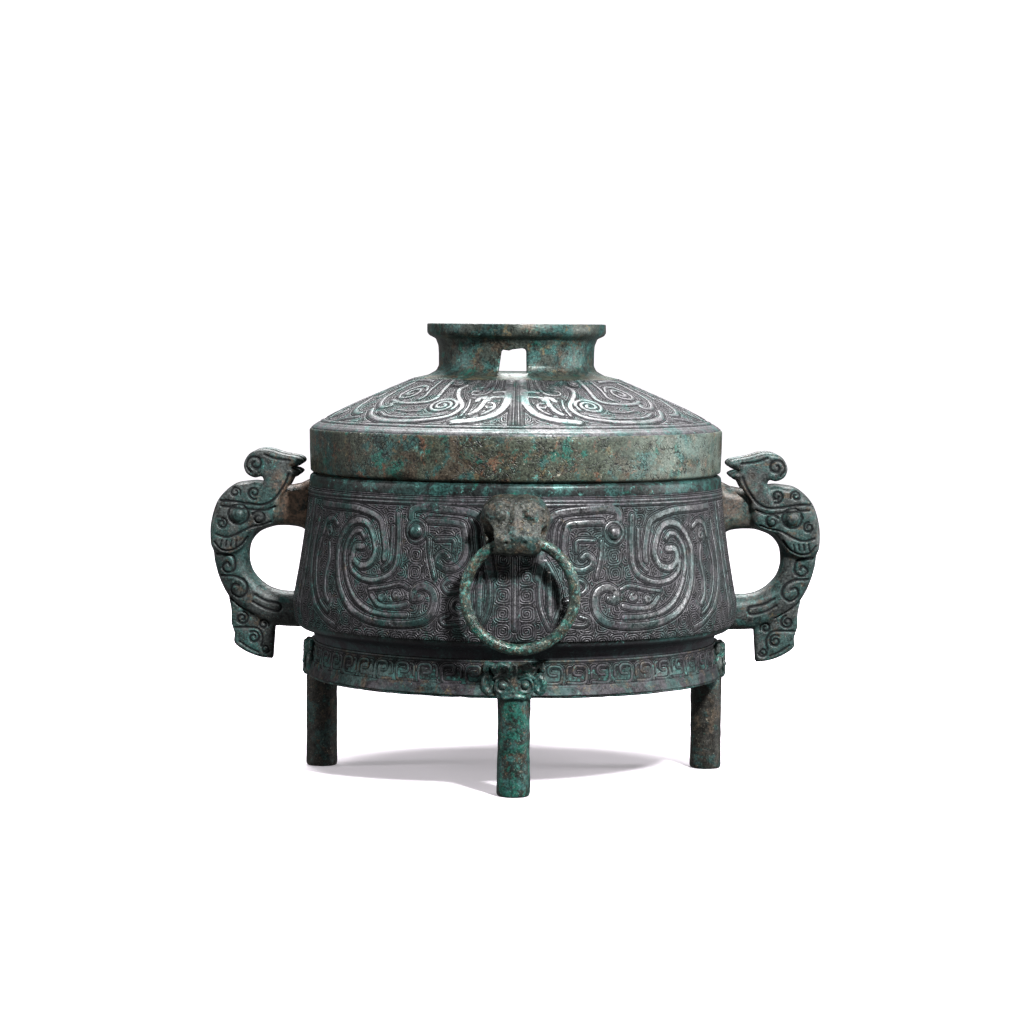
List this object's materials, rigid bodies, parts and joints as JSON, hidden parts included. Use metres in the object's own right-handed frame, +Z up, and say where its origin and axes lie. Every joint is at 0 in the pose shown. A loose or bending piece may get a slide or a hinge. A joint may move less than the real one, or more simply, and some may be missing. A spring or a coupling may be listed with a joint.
{
  "type": "gui food vessel",
  "caption": "Lidded round bronze food vessel on a ring foot with round legs, beast handles with pendants, loose rings under animal heads and a hollow knob on the lid.",
  "frame": {"origin": "middle of the floor between the four feet", "axes": "+Z up, +X from the vessel's axis through one beast handle, -Y toward the front ring"},
  "size_m": [0.304, 0.2518, 0.2222],
  "materials": {
    "body_bronze": "dark grey bronze with teal and malachite patina",
    "lid_bronze": "polished grey dome over an olive and green mottled band",
    "ring_bronze": "pale green patina with cream crust"
  },
  "bodies": {
    "vessel": {"vessel": "body_bronze", "lid": "lid_bronze"},
    "ring_front": {"ring_front": "ring_bronze"},
    "ring_back": {"ring_back": "ring_bronze"}
  },
  "joints": [
    {"name": "ring_front_swing", "type": "hinge", "parent": "vessel", "child": "ring_front", "pos_m": [0, -0.118, 0.1225], "axis": [-1, 0, 0], "range_deg": [-7, 180]},
    {"name": "ring_back_swing", "type": "hinge", "parent": "vessel", "child": "ring_back", "pos_m": [0, 0.118, 0.1225], "axis": [1, 0, 0], "range_deg": [-7, 180]}
  ]
}
